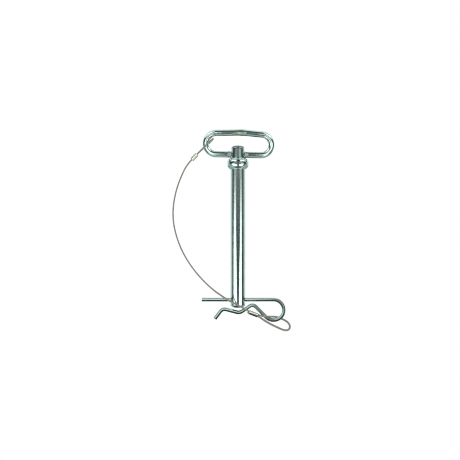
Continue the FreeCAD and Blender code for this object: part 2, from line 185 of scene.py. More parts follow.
rope_t, rope_s, rope_u = carried_frames(rope_line)
LAY_LENGTH = 0.0125
STRAND_R = 0.00034
STRAND_OFF = 0.00066


def at_place(*place):
    """How far along the rope its nearest point to a place is."""
    return rope_at[int(np.argmin(np.linalg.norm(rope_line - np.array(place), axis=1)))]


# The strands have opened up at the lower end, where the rope is bent to its
# eye. Inside the ferrule they are pressed together again.
OPEN_AT = [
    at_place(-0.0390, -0.0094, -0.1466),
    at_place(-0.0060, -0.0137, -0.1693),
    at_place(0.0094, -0.0084, -0.1784),
    at_place(0.0139, -0.0074, -0.1804),
    at_place(0.0254, -0.0052, -0.1849),
    at_place(0.0345, -0.0045, -0.1872),
    at_place(0.0324, -0.0044, -0.1915),
    at_place(0.0246, -0.0052, -0.1869),
]
opening = np.interp(rope_at, OPEN_AT, [1.0, 1.28, 1.25, 1.04, 1.04, 1.38, 1.38, 1.04])


def new_mesh_object(name, verts, faces, uvs=None, smooth=True):
    mesh = bpy.data.meshes.new(name)
    mesh.from_pydata([tuple(v) for v in verts], [], faces)
    if uvs is not None:
        layer = mesh.uv_layers.new(name="UVMap")
        flat = np.array([uvs[loop.vertex_index] for loop in mesh.loops], float)
        layer.data.foreach_set("uv", flat.ravel())
    if smooth:
        mesh.polygons.foreach_set("use_smooth", [True] * len(mesh.polygons))
    mesh.update()
    obj = bpy.data.objects.new(name, mesh)
    scene.collection.objects.link(obj)
    return obj


def faces_out(obj):
    """Turn every face of a closed mesh outward."""
    bm = bmesh.new()
    bm.from_mesh(obj.data)
    bmesh.ops.recalc_face_normals(bm, faces=bm.faces)
    bm.to_mesh(obj.data)
    bm.free()


def without_slivers(bm, size):
    bmesh.ops.remove_doubles(bm, verts=bm.verts, dist=size)
    bmesh.ops.dissolve_degenerate(bm, edges=bm.edges, dist=size)


def tube_parts(centres, side, up, radius, around, base, at=None, turn=0.0):
    """Rings of a tube with closed ends: (points, faces, uvs)."""
    n = len(centres)
    a = np.linspace(0, 2 * np.pi, around, endpoint=False) + turn
    radius = np.broadcast_to(np.asarray(radius, float), (n,))
    ring = (
        centres[:, None, :]
        + radius[:, None, None]
        * (np.cos(a)[None, :, None] * side[:, None, :] + np.sin(a)[None, :, None] * up[:, None, :])
    ).reshape(-1, 3)
    faces = []
    for i in range(n - 1):
        for j in range(around):
            k = (j + 1) % around
            faces.append(
                (
                    base + i * around + j,
                    base + i * around + k,
                    base + (i + 1) * around + k,
                    base + (i + 1) * around + j,
                )
            )
    faces.append(tuple(base + j for j in reversed(range(around))))
    faces.append(tuple(base + (n - 1) * around + j for j in range(around)))
    along = cumulative(centres) if at is None else at
    uvs = [(j / around, along[i] * 1000.0) for i in range(n) for j in range(around)]
    return ring, faces, uvs


def rope_mesh(name, first, last):
    """Six strands laid round a core, between two points of the rope's line."""
    part = slice(first, last + 1)
    line, at = rope_line[part], rope_at[part]
    side, up, wide = rope_s[part], rope_u[part], opening[part]
    points, faces, uvs = [], [], []
    ring, f, uv = tube_parts(line, side, up, STRAND_R * wide, 8, 0, at)
    points.append(ring)
    faces += f
    uvs += uv
    count = len(ring)
    for k in range(6):
        angle = 2 * np.pi * (k / 6.0 + at / LAY_LENGTH)
        out = np.cos(angle)[:, None] * side + np.sin(angle)[:, None] * up
        centres = line + STRAND_OFF * wide[:, None] * out
        way = np.gradient(centres, axis=0)
        way /= np.linalg.norm(way, axis=1)[:, None]
        across = np.cross(way, out)
        across /= np.linalg.norm(across, axis=1)[:, None]
        outward = np.cross(across, way)
        ring, f, uv = tube_parts(centres, across, outward, STRAND_R * wide, 8, count, at)
        points.append(ring)
        faces += f
        uvs += [(u + k, v) for u, v in uv]
        count += len(ring)
    obj = new_mesh_object(name, np.concatenate(points), faces, uvs)
    faces_out(obj)
    return obj


cut_high = int(np.argmin(np.abs(rope_line[:, 2] + 0.022) + (rope_line[:, 0] > -0.06)))
cut_low = int(np.argmin(np.abs(rope_line[:, 0] + 0.034) + (rope_line[:, 2] > -0.12)))
rope_pieces = []
for name, first, last, node in (
    ("lanyard_upper", 0, cut_high, "lanyard_upper_eye"),
    ("lanyard_middle", cut_high, cut_low, "lanyard_span"),
    ("lanyard_lower", cut_low, len(rope_line) - 1, "lanyard_lower_eye"),
):
    piece = rope_mesh(name, first, last)
    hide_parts(node)
    rope_pieces.append(piece)
    print(name, "length %.4f" % (rope_at[last] - rope_at[first]))
lanyard_upper, lanyard_middle, lanyard_lower = rope_pieces
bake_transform(lanyard_upper)
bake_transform(lanyard_middle)
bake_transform(lanyard_lower)


# ------------------------------------------------------------------ the pin
SHANK_R = 9.525
BEAD_R, BEAD_C, BEAD_Z = 7.44, 6.69, 7.55
NECK_R, NECK_TOP, NECK_ROUND = 8.6, 30.3, 4.2


def pin_profile():
    """(radius, height) in millimetres from the tip's centre to the top's."""
    pts = [(0.0, -176.0), (2.2, -176.0), (4.4, -176.0), (6.2, -176.0)]
    # the bevel, with a small round at both of its edges
    pts += [(6.42, -175.97), (6.62, -175.86)]
    pts += [(6.62 + 2.62 * t, -175.86 + 2.55 * t) for t in (0.2, 0.4, 0.6, 0.8, 1.0)]
    pts += [(9.37, -173.12), (9.45, -172.85), (9.463, -172.5)]
    z = -171.5
    while z < -158.8:
        pts.append((9.46 + 0.065 * (z + 173.1) / 14.35, z))
        z += 0.75
    z = -158.75
    while z < -4.0:
        pts.append((SHANK_R, z))
        z += 2.0 if z < -10 else 1.0
    # fillet under the bead: it meets the shank and the bead
    fr = 1.0
    cx = SHANK_R + fr
    dx = cx - BEAD_C
    cz = BEAD_Z - math.sqrt((BEAD_R + fr) ** 2 - dx * dx)
    end = math.atan2(BEAD_Z - cz, BEAD_C - cx)
    pts += [(SHANK_R, cz - 0.9), (SHANK_R, cz - 0.4)]
    for k in range(9):
        a = math.pi + (end - math.pi) * k / 8.0
        pts.append((cx + fr * math.cos(a), cz + fr * math.sin(a)))
    low = math.atan2(cz - BEAD_Z, cx - BEAD_C)
    # bead up to the neck
    zn = BEAD_Z + math.sqrt(BEAD_R**2 - (NECK_R - BEAD_C) ** 2)
    high = math.atan2(zn - BEAD_Z, NECK_R - BEAD_C)
    for k in range(1, 53):
        a = low + (high - low) * k / 52.0
        pts.append((BEAD_C + BEAD_R * math.cos(a), BEAD_Z + BEAD_R * math.sin(a)))
    z = zn + 0.5
    while z < NECK_TOP - NECK_ROUND - 0.3:
        pts.append((NECK_R, z))
        z += 0.6
    for k in range(15):
        a = math.pi / 2 * k / 14.0
        pts.append(
            (NECK_R - NECK_ROUND + NECK_ROUND * math.cos(a), NECK_TOP - NECK_ROUND + NECK_ROUND * math.sin(a))
        )
    pts += [(3.0, NECK_TOP + 0.0), (1.5, NECK_TOP), (0.0, NECK_TOP)]
    return pts


def lathe(name, profile, around):
    verts, faces = [], []
    rings = []
    for r, z in profile:
        if r < 1e-6:
            rings.append([len(verts)])
            verts.append((0.0, 0.0, z * MM))
        else:
            rings.append(list(range(len(verts), len(verts) + around)))
            for j in range(around):
                a = 2 * math.pi * j / around
                verts.append((r * math.cos(a) * MM, r * math.sin(a) * MM, z * MM))
    for low, high in zip(rings[:-1], rings[1:]):
        for j in range(around):
            k = (j + 1) % around
            if len(low) == 1:
                faces.append((low[0], high[k], high[j]))
            elif len(high) == 1:
                faces.append((low[j], low[k], high[0]))
            else:
                faces.append((low[j], low[k], high[k], high[j]))
    return new_mesh_object(name, verts, faces)


def cutter(name, radius, height, reach):
    """A round bar along X."""
    n = 56
    xs = [-reach, reach]
    verts, faces = [], []
    for x in xs:
        for j in range(n):
            a = 2 * math.pi * j / n
            verts.append((x * MM, radius * math.cos(a) * MM, (height + radius * math.sin(a)) * MM))
    for j in range(n):
        k = (j + 1) % n
        faces.append((j, k, n + k, n + j))
    faces.append(tuple(reversed(range(n))))
    faces.append(tuple(range(n, 2 * n)))
    return new_mesh_object(name, verts, faces)


pin = lathe("pin_body", pin_profile(), 144)
cutters = [
    cutter("neck_cut", 4.35, 19.07, 20),
    cutter("clip_cut", 3.175, -165.45, 20),
]
for c in cutters:
    faces_out(c)
    mod = pin.modifiers.new("cut", "BOOLEAN")
    mod.operation = "DIFFERENCE"
    mod.solver = "EXACT"
    mod.object = c
bpy.context.view_layer.update()
graph = bpy.context.evaluated_depsgraph_get()
cut_mesh = bpy.data.meshes.new_from_object(pin.evaluated_get(graph))
pin.modifiers.clear()
pin.data = cut_mesh
for c in cutters:
    bpy.data.objects.remove(c)
bm = bmesh.new()
bm.from_mesh(pin.data)
without_slivers(bm, 0.00002)
# soften the rims of the two holes
rims = []
for e in bm.edges:
    if len(e.link_faces) == 2:
        if e.calc_face_angle(0.0) > math.radians(38):
            m = (e.verts[0].co + e.verts[1].co) / 2
            if abs(m.x) > 0.0035 and (abs(m.z - 0.01907) < 0.0047 or abs(m.z + 0.16545) < 0.0035):
                rims.append(e)
print("rim edges", len(rims))
bmesh.ops.bevel(bm, geom=rims, offset=0.00028, segments=2, profile=0.6, affect="EDGES", clamp_overlap=True)
without_slivers(bm, 0.00001)
bmesh.ops.recalc_face_normals(bm, faces=bm.faces)
print("open edges", sum(1 for e in bm.edges if len(e.link_faces) != 2))
bm.to_mesh(pin.data)
bm.free()
pin.data.polygons.foreach_set("use_smooth", [True] * len(pin.data.polygons))
pin.data.set_sharp_from_angle(angle=math.radians(32))
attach(pin, "pin")
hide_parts("pin")

# --------------------------------------------------------------- the handle
BAR_R = 3.97
SLOPE = 1.3 / 56.9
WELD = np.array([5.2, 47.46])


def unit2(x, z):
    return np.array([x, z]) / math.hypot(x, z)


def tangent_arc(pa, da, pb, db, extreme, side):
    na = np.array([-da[1], da[0]]) if da[0] > 0 else np.array([da[1], -da[0]])
    nb = np.array([db[1], -db[0]]) if db[0] > 0 else np.array([-db[1], db[0]])
    m = np.array([[na[0], na[1], -1.0], [nb[0], nb[1], -1.0], [1.0, 0.0, side]])
    cx, cz, r = np.linalg.solve(m, [pa @ na, pb @ nb, extreme])
    centre = np.array([cx, cz])
    return centre, r, centre - na * r, centre - nb * r


axis2 = unit2(1.0, -SLOPE)
hole_centre = np.array([0.0, 19.07])
right_way, left_way = unit2(24.3, -2.46), unit2(32.6, 0.46)
rc, rr, r_low, r_high = tangent_arc(hole_centre, axis2, WELD, right_way, 42.83, 1)
lc, lr, l_low, l_high = tangent_arc(hole_centre, axis2, WELD, left_way, -41.13, -1)


def straight(a, b, step):
    n = max(2, int(math.ceil(np.linalg.norm(b - a) / step)) + 1)
    return [a + (b - a) * t for t in np.linspace(0, 1, n)]


def arc(centre, start, end, way, step):
    r = np.linalg.norm(start - centre)
    a0 = math.atan2(start[1] - centre[1], start[0] - centre[0])
    a1 = math.atan2(end[1] - centre[1], end[0] - centre[0])
    if way > 0:
        while a1 < a0:
            a1 += 2 * math.pi
    else:
        while a1 > a0:
            a1 -= 2 * math.pi
    n = max(3, int(math.ceil(abs(a1 - a0) * r / step)) + 1)
    return [centre + r * np.array([math.cos(t), math.sin(t)]) for t in np.linspace(a0, a1, n)]


# the loop, from the middle of its bottom bar round to the right
bend_r = WELD + right_way * 7.6
bend_l = WELD - left_way * 7.6
loop = []
loop += straight(hole_centre, hole_centre + axis2 * 17.0, 0.3)
loop += straight(hole_centre + axis2 * 17.0, r_low, 0.9)[1:]
loop += arc(rc, r_low, r_high, 1, 0.75)[1:]
loop += straight(r_high, bend_r, 0.9)[1:]
for t in np.linspace(0, 1, 30)[1:]:
    loop.append((1 - t) ** 2 * bend_r + 2 * t * (1 - t) * (WELD + np.array([0.0, 0.28])) + t * t * bend_l)
loop += straight(bend_l, l_high, 0.9)[1:]
loop += arc(lc, l_high, l_low, 1, 0.75)[1:]
loop += straight(l_low, hole_centre - axis2 * 17.0, 0.9)[1:]
loop += straight(hole_centre - axis2 * 17.0, hole_centre, 0.3)[1:-1]
loop = np.array(loop)
AROUND = 56


def closed_tangent(p):
    t = np.roll(p, -1, axis=0) - np.roll(p, 1, axis=0)
    return t / np.linalg.norm(t, axis=1)[:, None]


tan2 = closed_tangent(loop)
out2 = np.stack([tan2[:, 1], -tan2[:, 0]], axis=1)  # away from the loop's middle
verts = []
for i, (p, o) in enumerate(zip(loop, out2)):
    # distance along the top bar from the weld
    d = (p - WELD) @ unit2(1.0, -0.04)
    top = p[1] > 40.0
    swell = 0.38 * math.cos(math.pi / 2 * min(1.0, abs(d) / 7.6)) ** 2 if top and abs(d) < 7.6 else 0.0
    for j in range(AROUND):
        a = 2 * math.pi * j / AROUND
        r = BAR_R + swell
        if swell > 0:
            # the seam of the butt weld, ground back but still uneven
            seam = math.exp(-((abs(d) - 1.1 - 0.5 * math.sin(3 * a + 0.7)) / 0.55) ** 2)
            lump = 0.022 * math.sin(5 * a + 1.3) * math.sin(1.9 * d + 2 * a) + 0.010 * math.sin(9 * a - 2.1 * d)
            r += swell / 0.38 * (lump - 0.045 * seam + 0.02 * math.exp(-(d / 0.8) ** 2))
        x = p[0] + o[0] * r * math.cos(a)
        z = p[1] + o[1] * r * math.cos(a)
        y = r * math.sin(a)
        if p[1] < 25 and abs(p[0]) < 16:
            # the stakes: a round-nosed punch pressed in from the front and back
            for cx in (-11.0, 11.0):
                u = x - cx
                if abs(u) < 4.6:
                    limit = BAR_R + 4.6 - 0.5 - math.sqrt(4.6**2 - u * u)
                    if abs(y) > limit:
                        y = math.copysign(limit, y)
        verts.append((x * MM, y * MM, z * MM))
faces = []
n = len(loop)
for i in range(n):
    k = (i + 1) % n
    for j in range(AROUND):
        m = (j + 1) % AROUND
        faces.append((i * AROUND + j, k * AROUND + j, k * AROUND + m, i * AROUND + m))
handle = new_mesh_object("handle_loop", verts, faces)
faces_out(handle)
handle.data.set_sharp_from_angle(angle=math.radians(24))
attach(handle, "handle")
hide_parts("handle")

# --------------------------------------------------------------- the R-clip
WIRE = 2.38


def filleted(points, radii, step):
    """A polyline with round corners, sampled."""
    out = [points[0]]
    for i in range(1, len(points) - 1):
        p, a, b = points[i], points[i - 1], points[i + 1]
        u, v = unit(a - p), unit(b - p)
        half = math.acos(max(-1, min(1, float(u @ v)))) / 2
        t = radii[i - 1] / math.tan(half)
        centre = p + unit(u + v) * radii[i - 1] / math.sin(half)
        s, e = p + u * t, p + v * t
        out += straight(out[-1], s, step)[1:]
        turn = (s - centre)[0] * (e - centre)[1] - (s - centre)[1] * (e - centre)[0]
        out += arc(centre, s, e, 1 if turn > 0 else -1, step)[1:]
    out += straight(out[-1], points[-1], step)[1:]
    return out


bow_c = np.array([45.6, -179.3])
wire = straight(np.array([-46.2, -166.2]), np.array([45.6, -166.2]), 1.6)
wire += arc(bow_c, np.array([45.6, -166.2]), np.array([36.337, -188.563]), -1, 0.8)[1:]
tail = filleted(
    [
        np.array([36.337, -188.563]),
        np.array([19.34, -171.56]),
        np.array([2.45, -183.25]),
        np.array([-19.6, -177.62]),
        np.array([-29.4, -190.5]),
    ],
    [6.4, 9.0, 6.4],
    0.8,
)
wire += tail[1:]
wire = np.array(wire)
keep = np.concatenate([[True], np.linalg.norm(np.diff(wire, axis=0), axis=1) > 1e-4])
wire = wire[keep]
# the ends are sheared off square, with a small turned-over edge
t0, t1 = unit(wire[1] - wire[0]), unit(wire[-1] - wire[-2])
wire = np.concatenate(
    [[wire[0], wire[0] + t0 * 0.12, wire[0] + t0 * 0.3, wire[0] + t0 * 0.8], wire[1:-1],
     [wire[-1] - t1 * 0.8, wire[-1] - t1 * 0.3, wire[-1] - t1 * 0.12, wire[-1]]]
)
radii = np.full(len(wire), WIRE)
radii[0] = radii[-1] = WIRE - 0.32
radii[1] = radii[-2] = WIRE - 0.10
wire3 = np.stack([wire[:, 0], np.zeros(len(wire)), wire[:, 1]], axis=1) * MM
wt = np.gradient(wire3, axis=0)
wt /= np.linalg.norm(wt, axis=1)[:, None]
wy = np.tile([0.0, 1.0, 0.0], (len(wire3), 1))
ws = np.cross(wy, wt)
ring, f, uv = tube_parts(wire3, ws, wy, radii * MM, 40, 0)
clip = new_mesh_object("r_clip", ring, f, uv)
faces_out(clip)
clip.data.set_sharp_from_angle(angle=math.radians(34))
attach(clip, "clip")
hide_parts("r_clip_leg", "r_clip_spring")


# ------------------------------------------------------------- the ferrules
def ferrule(name, start, end, wide, body, node, half_t=2.15):
    """A pressed oval sleeve: a stadium section, nipped by the press and rolled
    in at both mouths, with the two ropes going into its open ends."""
    start, end = np.array(start, float), np.array(end, float)
    length = np.linalg.norm(end - start)
    way = (end - start) / length
    wide = unit(np.array(wide, float) - way * (np.array(wide, float) @ way))
    thick = np.cross(way, wide)
    half_w = 2.6
    flat = half_w - half_t
    m = 64
    section = []
    for j in range(m):
        a = 2 * math.pi * j / m
        c, s = math.cos(a), math.sin(a)
        section.append((half_t * c + (flat if c > 0 else -flat) * min(1.0, abs(c) * 6), half_t * s))
    section = np.array(section)
    L = length * 1000
    rows = [(0.0, 0.62), (0.0, 0.84), (0.1, 0.93), (0.3, 0.985), (0.6, 1.0)]
    k = int(L / 0.22)
    rows += [(0.6 + (L - 1.2) * t, 1.0) for t in np.linspace(0, 1, k)[1:-1]]
    rows += [(L - 0.6, 1.0), (L - 0.3, 0.985), (L - 0.1, 0.93), (L, 0.84), (L, 0.62)]
    verts = []
    first, last = 0, len(rows) - 1
    for i, (s, scale) in enumerate(rows):
        nip = 0.0
        for c in (0.25, 0.5, 0.75):
            u = (s - c * L) / (0.095 * L)
            nip = max(nip, math.exp(-(u**4)))
        for x, y in section:
            xx, yy = x * scale, y * scale
            if 0.3 < s < L - 0.3:
                # the press flattens the broad faces and leaves shallow bands
                edge = abs(x) / half_w
                yy = math.copysign(min(abs(yy), half_t * (1.0 - 0.015 * nip)), yy)
                xx *= 1.0 - 0.008 * nip * edge
            depth = s
            if i in (first, last):
                depth = s + (0.7 if i == first else -0.7)
            place = start * 1000 + way * depth + wide * xx + thick * yy
            verts.append(place * MM)
    faces = []
    for i in range(len(rows) - 1):
        for j in range(m):
            q = (j + 1) % m
            faces.append((i * m + j, i * m + q, (i + 1) * m + q, (i + 1) * m + j))
    faces.append(tuple(reversed(range(m))))
    faces.append(tuple((len(rows) - 1) * m + j for j in range(m)))
    obj = new_mesh_object(name, verts, faces)
    faces_out(obj)
    obj.data.set_sharp_from_angle(angle=math.radians(40))
    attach(obj, body)
    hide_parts(node)
    return obj


ferrule_up = ferrule(
    "ferrule_upper_sleeve", (-0.0589, 0, 0.0127), (-0.0523, 0, 0.0196), (0, 1, 0), "handle", "ferrule_upper", 2.7
)
ferrule_low = ferrule(
    "ferrule_lower_sleeve",
    (0.0139, -0.0074, -0.1814),
    (0.0250, -0.0052, -0.1859),
    tuple(LOW_SIDE),
    "clip",
    "ferrule_lower",
)


# ---------------------------------------------------------------- materials
class Nodes:
    def __init__(self, name):
        self.mat = bpy.data.materials.new(name)
        self.mat.use_nodes = True
        self.tree = self.mat.node_tree
        self.tree.nodes.clear()

    def add(self, kind, **values):
        node = self.tree.nodes.new(kind)
        for key, value in values.items():
            if hasattr(node, key) and not key[0].isupper():
                setattr(node, key, value)
            else:
                node.inputs[key.replace("_", " ")].default_value = value
        return node

    def link(self, a, b):
        self.tree.links.new(a, b)

    def math(self, op, a, b=None, clamp=False):
        node = self.tree.nodes.new("ShaderNodeMath")
        node.operation = op
        node.use_clamp = clamp
        for i, v in enumerate((a, b)):
            if v is None:
                continue
            if isinstance(v, (int, float)):
                node.inputs[i].default_value = v
            else:
                self.link(v, node.inputs[i])
        return node.outputs[0]

    def ramp(self, fac, stops):
        node = self.tree.nodes.new("ShaderNodeValToRGB")
        e = node.color_ramp.elements
        while len(e) < len(stops):
            e.new(0.5)
        for element, (pos, colour) in zip(e, stops):
            element.position = pos
            element.color = (*colour, 1.0) if len(colour) == 3 else colour
        self.link(fac, node.inputs[0])
        return node.outputs[0]

    def noise(self, vector, scale, detail=3.0, rough=0.55, distort=0.0):
        node = self.tree.nodes.new("ShaderNodeTexNoise")
        node.inputs["Scale"].default_value = scale
        node.inputs["Detail"].default_value = detail
        node.inputs["Roughness"].default_value = rough
        node.inputs["Distortion"].default_value = distort
        self.link(vector, node.inputs["Vector"])
        return node.outputs[0]

    def range(self, value, a, b, c, d):
        node = self.tree.nodes.new("ShaderNodeMapRange")
        node.clamp = True
        self.link(value, node.inputs[0])
        for i, v in enumerate((a, b, c, d), start=1):
            node.inputs[i].default_value = v
        return node.outputs[0]

    def stretched(self, vector, scale):
        node = self.tree.nodes.new("ShaderNodeVectorMath")
        node.operation = "MULTIPLY"
        self.link(vector, node.inputs[0])
        node.inputs[1].default_value = scale
        return node.outputs[0]


def zinc(name, tint, rough_low, rough_high, grain, wave, height_of_shank=False, weld_tint_and_stake_shade=False, shaded_top_end=False):
    n = Nodes(name)
    coord = n.add("ShaderNodeTexCoord")
    place = n.stretched(coord.outputs["Object"], (1000.0, 1000.0, 1000.0))  # millimetres
    xyz = n.add("ShaderNodeSeparateXYZ")
    n.link(place, xyz.inputs[0])
    # crystal mottling of the plating, broad staining, and fine draw marks
    fine = n.noise(place, 1.15, 4.0, 0.62)
    broad = n.noise(place, 0.11, 3.0, 0.5, 0.6)
    tiny = n.noise(place, 6.5, 2.0, 0.5)
    cells = n.add("ShaderNodeTexVoronoi")
    cells.feature = "F1"
    cells.inputs["Scale"].default_value = 0.75
    n.link(place, cells.inputs["Vector"])
    mix = n.math("ADD", n.math("MULTIPLY", fine, 0.6), n.math("MULTIPLY", cells.outputs["Distance"], 0.35))
    shade = n.ramp(
        mix,
        [
            (0.25, tuple(c * 0.80 for c in tint)),
            (0.5, tint),
            (0.78, tuple(min(1.0, c * 1.08) for c in tint)),
        ],
    )
    stain = n.range(broad, 0.35, 0.68, 0.0, 0.35)
    tinted = n.add("ShaderNodeMix", data_type="RGBA")
    tinted.blend_type = "MULTIPLY"
    n.link(stain, tinted.inputs[0])
    n.link(shade, tinted.inputs[6])
    tinted.inputs[7].default_value = (0.80, 0.88, 0.86, 1.0)
    colour = tinted.outputs[2]
    rough = n.range(fine, 0.3, 0.72, rough_low, rough_high)
    if height_of_shank:
        # the plating is duller towards the top of the shank, and bright on the bead
        up = n.math("MULTIPLY", n.range(xyz.outputs[2], -120.0, 0.0, 0.0, 1.0), n.range(xyz.outputs[2], -1.0, 2.0, 1.0, 0.0))
        rough = n.math("ADD", rough, n.math("MULTIPLY", up, 0.12))
    if weld_tint_and_stake_shade:
        # heat tint and flux stain round the butt weld, below the seam
        dx = n.math("DIVIDE", n.math("SUBTRACT", xyz.outputs[0], 1.5), 9.5)
        dz = n.math("DIVIDE", n.math("SUBTRACT", xyz.outputs[2], 45.2), 2.6)
        far = n.math("ADD", n.math("MULTIPLY", dx, dx), n.math("MULTIPLY", dz, dz))
        near = n.range(n.math("ADD", far, n.math("MULTIPLY", fine, 0.8)), 0.55, 1.7, 1.0, 0.0)
        burnt = n.add("ShaderNodeMix", data_type="RGBA")
        n.link(n.math("MULTIPLY", near, 0.75), burnt.inputs[0])
        n.link(colour, burnt.inputs[6])
        burnt.inputs[7].default_value = (0.60, 0.61, 0.40, 1.0)
        colour = burnt.outputs[2]
        rough = n.math("ADD", rough, n.math("MULTIPLY", near, 0.24))
    if weld_tint_and_stake_shade:
        # the punch has broken the plating's shine in the stakes beside the neck, and the colour over the stakes is
        # darkened there as painted shade
        off = n.math("ABSOLUTE", n.math("SUBTRACT", n.math("ABSOLUTE", xyz.outputs[0]), 11.0))
        stake_shade = n.math("MULTIPLY", n.range(off, 1.3, 2.6, 1.0, 0.0), n.range(xyz.outputs[2], 25.0, 27.0, 1.0, 0.0))
        rough = n.math("ADD", rough, n.math("MULTIPLY", stake_shade, 0.40))
        stake_shaded = n.add("ShaderNodeMix", data_type="RGBA")
        n.link(n.math("MULTIPLY", stake_shade, 0.85), stake_shaded.inputs[0])
        n.link(colour, stake_shaded.inputs[6])
        stake_shaded.inputs[7].default_value = (0.34, 0.38, 0.37, 1.0)
        colour = stake_shaded.outputs[2]
    if shaded_top_end:
        # the sheared top end: rougher, and its colour darkened as painted shade that holds back its highlight
        end = n.range(n.math("ADD", xyz.outputs[2], n.math("MULTIPLY", fine, 1.2)), 27.1, 27.9, 0.0, 1.0)
        rough = n.math("ADD", rough, n.math("MULTIPLY", end, 0.24))
        top_shade = n.add("ShaderNodeMix", data_type="RGBA")
        n.link(n.math("MULTIPLY", end, 0.9), top_shade.inputs[0])
        n.link(colour, top_shade.inputs[6])
        n.link(n.ramp(fine, [(0.36, (0.13, 0.17, 0.175)), (0.5, (0.22, 0.27, 0.27)), (0.64, (0.36, 0.41, 0.41))]), top_shade.inputs[7])
        colour = top_shade.outputs[2]
    bump1 = n.add("ShaderNodeBump", Strength=1.0, Distance=0.001)
    n.link(n.math("MULTIPLY", mix, grain), bump1.inputs["Height"])
    bump2 = n.add("ShaderNodeBump", Strength=1.0, Distance=0.001)
    n.link(n.math("ADD", n.math("MULTIPLY", broad, wave), n.math("MULTIPLY", tiny, grain * 0.12)), bump2.inputs["Height"])
    n.link(bump1.outputs[0], bump2.inputs["Normal"])
    shader = n.add("ShaderNodeBsdfPrincipled", Metallic=1.0)
    n.link(colour, shader.inputs["Base Color"])
    n.link(rough, shader.inputs["Roughness"])
    n.link(bump2.outputs[0], shader.inputs["Normal"])
    out = n.add("ShaderNodeOutputMaterial")
    n.link(shader.outputs[0], out.inputs[0])
    return n.mat


def rope_material():
    n = Nodes("galvanised_rope")
    coord = n.add("ShaderNodeTexCoord")
    place = n.stretched(coord.outputs["Object"], (1000.0, 1000.0, 1000.0))
    uv = n.add("ShaderNodeSeparateXYZ")
    n.link(coord.outputs["UV"], uv.inputs[0])
    # the wires of each strand, laid the other way round
    lay = n.math("ADD", n.math("MULTIPLY", uv.outputs[0], 6.0), n.math("MULTIPLY", uv.outputs[1], -0.9))
    wires = n.math("ABSOLUTE", n.math("SINE", n.math("MULTIPLY", lay, math.pi)))
    grime = n.noise(place, 0.8, 4.0, 0.6)
    shade = n.ramp(n.math("MULTIPLY", n.math("ADD", wires, grime), 0.5),
                   [(0.15, (0.20, 0.21, 0.165)), (0.5, (0.50, 0.52, 0.44)), (0.85, (0.70, 0.72, 0.63))])
    bump = n.add("ShaderNodeBump", Strength=0.8, Distance=0.0001)
    n.link(wires, bump.inputs["Height"])
    shader = n.add("ShaderNodeBsdfPrincipled", Metallic=0.6)
    n.link(shade, shader.inputs["Base Color"])
    n.link(n.range(grime, 0.3, 0.7, 0.36, 0.56), shader.inputs["Roughness"])
    n.link(bump.outputs[0], shader.inputs["Normal"])
    out = n.add("ShaderNodeOutputMaterial")
    n.link(shader.outputs[0], out.inputs[0])
    return n.mat


def ferrule_material():
    n = Nodes("pressed_aluminium")
    coord = n.add("ShaderNodeTexCoord")
    place = n.stretched(coord.outputs["Object"], (1000.0, 1000.0, 1000.0))
    scuff = n.noise(place, 1.6, 4.0, 0.6, 0.4)
    fine = n.noise(place, 7.0, 2.0, 0.5)
    shade = n.ramp(scuff, [(0.3, (0.66, 0.65, 0.58)), (0.55, (0.84, 0.83, 0.77)), (0.8, (0.93, 0.92, 0.88))])
    bump = n.add("ShaderNodeBump", Strength=0.4, Distance=0.00012)
    n.link(n.math("ADD", n.math("MULTIPLY", scuff, 0.7), n.math("MULTIPLY", fine, 0.2)), bump.inputs["Height"])
    shader = n.add("ShaderNodeBsdfPrincipled", Metallic=1.0)
    n.link(shade, shader.inputs["Base Color"])
    n.link(n.range(scuff, 0.3, 0.7, 0.10, 0.20), shader.inputs["Roughness"])
    n.link(bump.outputs[0], shader.inputs["Normal"])
    out = n.add("ShaderNodeOutputMaterial")
    n.link(shader.outputs[0], out.inputs[0])
    return n.mat


def wear(obj, mat):
    obj.data.materials.clear()
    obj.data.materials.append(mat)


# the top end of the pin's neck is darkened with painted shade
pin_mat = zinc("pin_zinc", (0.70, 0.81, 0.785), 0.08, 0.15, 0.009, 0.14, height_of_shank=True, shaded_top_end=True)
# the handle's stakes beside the neck are darkened with painted shade; the weld's heat tint is a real stain
handle_mat = zinc("handle_zinc", (0.72, 0.83, 0.80), 0.08, 0.15, 0.005, 0.10, weld_tint_and_stake_shade=True)
clip_mat = zinc("clip_zinc", (0.69, 0.81, 0.785), 0.08, 0.15, 0.006, 0.10)
rope_mat, alloy_mat = rope_material(), ferrule_material()
wear(pin, pin_mat)
wear(handle, handle_mat)
wear(clip, clip_mat)
for piece in rope_pieces:
    wear(piece, rope_mat)
wear(ferrule_up, alloy_mat)
wear(ferrule_low, alloy_mat)
by_node = {
    "pin": pin_mat,
    "handle": handle_mat,
    "r_clip_leg": clip_mat,
    "r_clip_spring": clip_mat,
    "lanyard_span": rope_mat,
    "lanyard_upper_eye": rope_mat,
    "lanyard_lower_eye": rope_mat,
    "ferrule_upper": alloy_mat,
    "ferrule_lower": alloy_mat,
}
for name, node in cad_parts.items():
    if node.material_slots:
        for s in node.material_slots:
            s.material = by_node[name]
    else:
        node.data.materials.append(by_node[name])


# ---------------------------------------------------------- light and stage
def only_glossy(obj):
    obj.visible_camera = False
    obj.visible_diffuse = False
    obj.visible_transmission = False
    obj.visible_volume_scatter = False
    obj.visible_shadow = False


